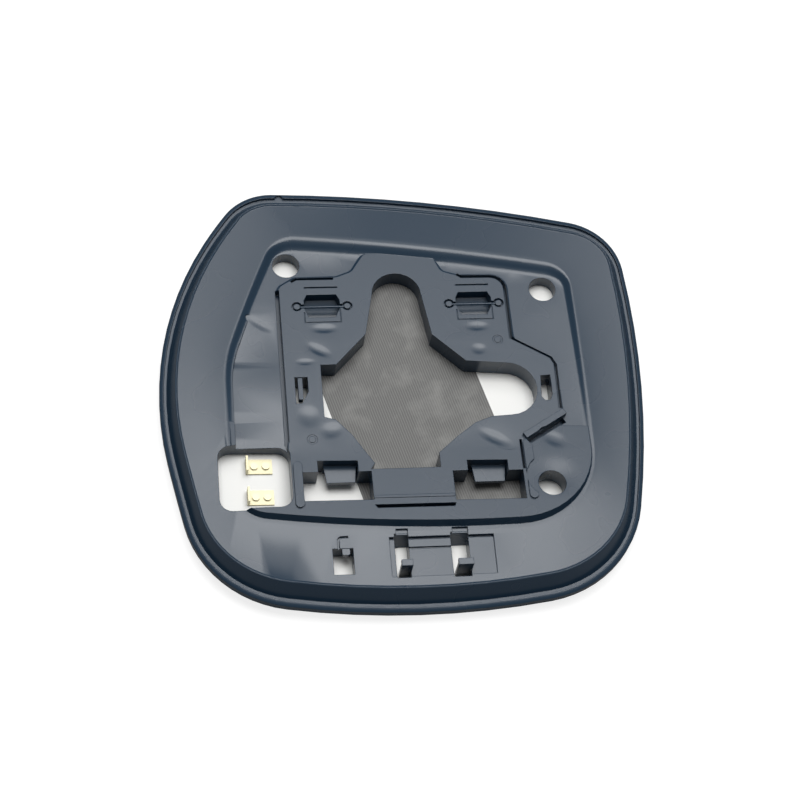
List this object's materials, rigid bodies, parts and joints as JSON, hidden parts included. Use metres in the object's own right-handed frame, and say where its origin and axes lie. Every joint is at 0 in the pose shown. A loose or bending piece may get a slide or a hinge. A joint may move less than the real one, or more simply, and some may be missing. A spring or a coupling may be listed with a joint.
{
  "type": "car door mirror glass",
  "caption": "Heated convex mirror glass for a car's door mirror, with the moulded backing plate that clips onto the mirror drive.",
  "frame": {"origin": "middle of the outline, on the plane that the convex mirror face touches", "axes": "+X along the mirror to its straighter end, +Y to its sloping upper edge, +Z out of its back"},
  "size_m": [0.1976, 0.1899, 0.0165],
  "materials": {
    "plate_plastic": "satin moulded",
    "mirror": "polished, silvered behind",
    "film": "smooth white film",
    "pad": "woven, dull",
    "terminal_metal": "tinned, pale",
    "rivet_metal": "tinned, pale"
  },
  "bodies": {
    "root": {"backing_plate": "plate_plastic", "mirror_glass": "mirror", "heater_film": "film", "heater_pad": "pad", "terminal_upper": "terminal_metal", "terminal_lower": "terminal_metal", "rivets_upper": "rivet_metal", "rivets_lower": "rivet_metal"}
  },
  "joints": []
}
